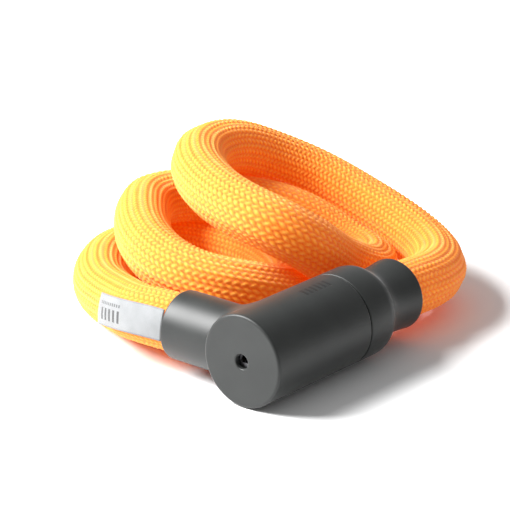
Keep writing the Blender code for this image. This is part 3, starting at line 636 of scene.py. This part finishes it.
@cache
def rope_fabric():
    """Neon orange yarn: filaments along each float, painted shade between strands and a painted red glow."""
    shader = Shader("rope_fabric", color=(0.8, 0.32, 0.05), roughness=0.62)
    shader.set("Sheen Weight", 0.35)
    shader.set("Sheen Roughness", 0.4)
    shader.set("Sheen Tint", (1.0, 0.85, 0.5, 1.0))
    shader.set("Specular IOR Level", 0.35)
    # A painted red glow: the yarn gives off light of its own, in light and shade alike, which keeps its
    # shaded parts red-orange.
    shader.set("Emission Color", (1.0, 0.07, 0.0, 1.0))
    shader.set("Emission Strength", 0.42)
    height = shader.attribute("strand_height")
    across = shader.attribute("strand_across")
    patchy = shader.noise(scale=220.0, detail=4.0)
    # Colour follows the strand height, a painted shade between strands, plus a random tone from the noise.
    shade = shader.math("ADD", height, shader.math("MULTIPLY", shader.math("SUBTRACT", patchy, 0.5), 0.5))
    shader.join(shader.ramp(shade, ROPE_SHADES), shader.main.inputs["Base Color"])
    filaments = shader.math("SINE", shader.math("MULTIPLY", across, FILAMENT_RADIANS))
    shader.bump(filaments, depth=0.09 * MM, strength=0.8)
    shader.bump(shader.noise(scale=1500.0, detail=2.0), depth=0.06 * MM, strength=0.4)
    shader.join(shader.spread(patchy, low=0.5, high=0.75), shader.main.inputs["Roughness"])
    return shader.material


def plain_strokes(shader, run, run_range, side, side_range, pitch):
    """1 on a row of plain upright strokes between the given places, 0 elsewhere, in place of lettering."""
    wave = shader.math("SINE", shader.math("MULTIPLY", run, TAU / pitch))
    stroke = shader.math("GREATER_THAN", wave, STROKE_THRESHOLD)
    for source, (low, high) in ((run, run_range), (side, side_range)):
        stroke = shader.math("MULTIPLY", stroke, shader.math("GREATER_THAN", source, low))
        stroke = shader.math("MULTIPLY", stroke, shader.math("LESS_THAN", source, high))
    return stroke


@cache
def label_fabric():
    """Silver-grey woven ribbon with fine cross threads, darker selvedges and plain printed strokes."""
    shader = Shader("label_fabric", color=(0.52, 0.53, 0.55), roughness=0.55)
    shader.set("Sheen Weight", 0.4)
    shader.set("Sheen Roughness", 0.35)
    run = shader.attribute("label_run")
    side = shader.attribute("label_side")
    warp = shader.math("SINE", shader.math("MULTIPLY", side, TAU / WARP_PITCH))
    weft = shader.math("SINE", shader.math("MULTIPLY", run, TAU / WEFT_PITCH))
    weave = shader.math("MULTIPLY", warp, weft)
    shader.bump(weave, depth=0.06 * MM, strength=0.7)
    edge = shader.math("GREATER_THAN", shader.math("ABSOLUTE", side), LABEL_WIDTH / 2 - SELVEDGE_WIDTH)
    # The weave term darkens the low cells of the weave and lightens the raised ones, a painted shade in its
    # hollows.
    shade = shader.math("ADD", shader.math("MULTIPLY", weave, 0.08), shader.math("MULTIPLY", edge, -0.2))
    shade = shader.math("ADD", shade, shader.spread(shader.noise(scale=160.0), low=0.35, high=0.75))
    large = plain_strokes(shader, run, PRINT_RUN, side, LARGE_PRINT_SIDE, LARGE_PRINT_PITCH)
    small = plain_strokes(shader, run, PRINT_RUN, side, SMALL_PRINT_SIDE, SMALL_PRINT_PITCH)
    shade = shader.math("SUBTRACT", shader.math("SUBTRACT", shade, large), small)
    shader.join(shader.ramp(shade, LABEL_SHADES), shader.main.inputs["Base Color"])
    return shader.material


def debossed_mark(shader):
    """1 on the plain strokes pressed into the top of the head beside the seam."""
    split = shader.node("ShaderNodeSeparateXYZ")
    shader.join(shader.place(), split.inputs["Vector"])
    run, side, height = split.outputs
    run_range = (AXIS.x + MARK_START, AXIS.x + MARK_END)
    side_range = (AXIS.y - MARK_WIDTH, AXIS.y)
    strokes = plain_strokes(shader, run, run_range, side, side_range, MARK_PITCH)
    return shader.math("MULTIPLY", strokes, shader.math("GREATER_THAN", height, AXIS.z))


@cache
def soft_touch():
    """Dark grey soft-touch moulding with a fine grain, faint handling marks and the pressed mark."""
    shader = Shader("soft_touch", color=(0.04, 0.042, 0.041), roughness=0.5)
    shader.set("Specular IOR Level", 0.35)
    shader.set("Sheen Weight", 0.12)
    shader.set("Sheen Roughness", 0.35)
    worn = shader.noise(scale=38.0, detail=5.0, roughness=0.6)
    mark = debossed_mark(shader)
    # The pressed strokes are also painted near-black, a painted shade in their hollows.
    shade = shader.math("SUBTRACT", worn, mark)
    shader.join(shader.ramp(shade, MOULDING_SHADES), shader.main.inputs["Base Color"])
    shader.join(shader.spread(worn, low=0.4, high=0.52), shader.main.inputs["Roughness"])
    shader.bump(shader.noise(scale=2600.0, detail=2.0), depth=0.03 * MM, strength=0.35)
    shader.bump(shader.math("SUBTRACT", 1.0, mark), depth=0.3 * MM)
    return shader.material


def machined(name, color, smoothest, roughest):
    """Metal with turning marks along its X axis and a little staining."""
    shader = Shader(name, color, roughness=(smoothest + roughest) / 2, metallic=1.0)
    split = shader.node("ShaderNodeSeparateXYZ")
    shader.join(shader.place(), split.inputs["Vector"])
    marks = shader.math("SINE", shader.math("MULTIPLY", split.outputs["X"], TAU / TURNING_PITCH))
    stain = shader.noise(scale=90.0, detail=5.0, roughness=0.6)
    dark = tuple(STAIN_SHADE * c for c in color)
    shader.join(shader.ramp(stain, [(0.3, dark), (0.7, color)]), shader.main.inputs["Base Color"])
    shader.join(shader.spread(stain, smoothest, roughest), shader.main.inputs["Roughness"])
    shader.bump(marks, depth=0.01 * MM, strength=0.3)
    return shader.material


@cache
def case_steel():
    """Ground steel."""
    return machined("case_steel", (0.55, 0.56, 0.58), smoothest=0.22, roughest=0.4)


@cache
def dark_steel():
    """Hardened, blackened steel."""
    return machined("dark_steel", (0.2, 0.2, 0.21), smoothest=0.3, roughest=0.5)


@cache
def lock_brass():
    """Machined brass."""
    return machined("lock_brass", (0.72, 0.52, 0.24), smoothest=0.25, roughest=0.42)


@cache
def seal_rubber():
    """Black moulded rubber."""
    shader = Shader("seal_rubber", color=(0.015, 0.015, 0.015), roughness=0.75)
    worn = shader.noise(scale=120.0, detail=4.0)
    shader.join(shader.ramp(worn, RUBBER_SHADES), shader.main.inputs["Base Color"])
    shader.bump(shader.noise(scale=1800.0), depth=0.03 * MM, strength=0.4)
    return shader.material


def finish_cad_nodes():
    """Give every CAD node its slot's material."""
    makers = {"soft_touch": soft_touch, "rope_fabric": rope_fabric, "label_fabric": label_fabric,
              "case_steel": case_steel, "dark_steel": dark_steel, "lock_brass": lock_brass,
              "seal_rubber": seal_rubber}
    for name, node in nodes.items():
        node.data.materials.clear()
        node.data.materials.append(makers[slot_of(name)]())


def key_light():
    """A square soft box at the camera's upper left, which faces the lock."""
    data = bpy.data.lights.new("key", "AREA")
    data.shape = "SQUARE"
    data.size = KEY_SIZE
    data.energy = KEY_POWER
    lamp = bpy.data.objects.new("key", data)
    back = look_back()
    ahead = Vector((-back.x, -back.y, 0)).normalized()
    right = ahead.cross(Vector((0, 0, 1)))
    leftward, onward, upward = KEY_DIRECTION
    toward = (-right * leftward + ahead * onward + Vector((0, 0, upward))).normalized()
    lamp.location = KEY_AIM + toward * KEY_DISTANCE
    lamp.rotation_mode = "QUATERNION"
    lamp.rotation_quaternion = (-toward).to_track_quat("-Z", "Y")
    bpy.context.scene.collection.objects.link(lamp)


def studio():
    """White surroundings, one strong soft light and a pale floor."""
    world = bpy.data.worlds.new("studio")
    bpy.context.scene.world = world
    world.use_nodes = True
    background = world.node_tree.nodes["Background"]
    background.inputs["Color"].default_value = (1.0, 1.0, 1.0, 1.0)
    background.inputs["Strength"].default_value = WORLD_STRENGTH
    key_light()
    bpy.context.scene.view_settings.view_transform = "Standard"
    signs = ((-1, -1), (1, -1), (1, 1), (-1, 1))
    corners = [(FLOOR_REACH * x, FLOOR_REACH * y, FLOOR_HEIGHT) for x, y in signs]
    floor = new_object("floor", corners, [(0, 1, 2, 3)], smooth=False)
    shader = Shader("floor", color=(0.88, 0.88, 0.88), roughness=0.7)
    floor.data.materials.append(shader.material)


def rope_and_label():
    """Place the rope's pieces and the label."""
    pieces = rope_pieces()
    main, main_line = pieces["rope_main"]
    plug_end, plug_line = pieces["rope_plug_end"]
    label = label_piece(main_line)
    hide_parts("rope_label")
    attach(label, "lock_head")
    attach(main, "lock_head")
    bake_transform(plug_end)


make_camera()
rope_and_label()
head_moulding()
plug_moulding()
finish_cad_nodes()
studio()
